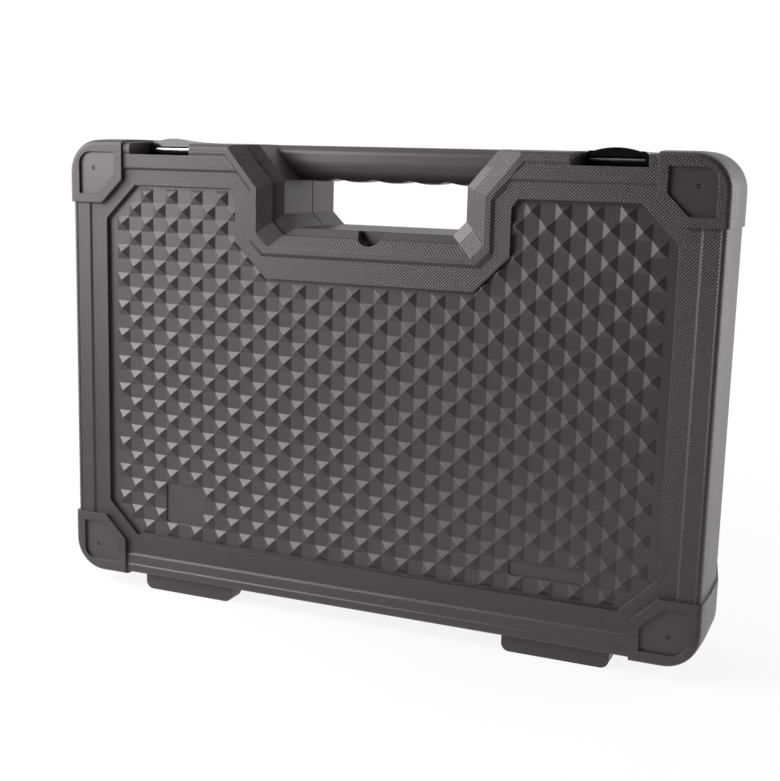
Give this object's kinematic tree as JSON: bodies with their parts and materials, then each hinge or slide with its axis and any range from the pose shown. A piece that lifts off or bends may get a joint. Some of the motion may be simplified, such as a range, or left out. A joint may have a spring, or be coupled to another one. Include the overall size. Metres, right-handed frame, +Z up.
{
  "type": "hard tool case",
  "caption": "Hinged two-shell plastic tool case that stands on its feet, with a moulded carrying handle, a quilted face and snap latches on steel pins.",
  "frame": {"origin": "middle of the base of the case, at ground level under the centre of its outline", "axes": "+X along the width, to the right seen from the front; +Z up; the front face with the latch pins looks towards -Y"},
  "size_m": [0.4126, 0.0846, 0.2918],
  "materials": {
    "shell_plastic": "warm dark grey high-density polyethylene, satin in the panel, finely knurled on the rims",
    "latch_plastic": "glossy black plastic",
    "pin_steel": "bright plated steel"
  },
  "bodies": {
    "base": {"back_shell": "shell_plastic", "hinge_pin_left": "pin_steel", "hinge_pin_right": "pin_steel"},
    "lid": {"front_shell": "shell_plastic", "latch_pin_left": "pin_steel", "latch_pin_right": "pin_steel"},
    "left_latch": {"latch_left": "latch_plastic"},
    "right_latch": {"latch_right": "latch_plastic"}
  },
  "joints": [
    {"name": "lid_hinge", "type": "hinge", "parent": "base", "child": "lid", "pos_m": [0, 0.007, 0.00455], "axis": [1, 0, 0], "range_deg": [0, 180]},
    {"name": "left_latch_hinge", "type": "hinge", "parent": "lid", "child": "left_latch", "pos_m": [-0.14, -0.0195, 0.2853], "axis": [1, 0, 0], "range_deg": [0, 90]},
    {"name": "right_latch_hinge", "type": "hinge", "parent": "lid", "child": "right_latch", "pos_m": [0.14, -0.0195, 0.2853], "axis": [1, 0, 0], "range_deg": [0, 90]}
  ]
}
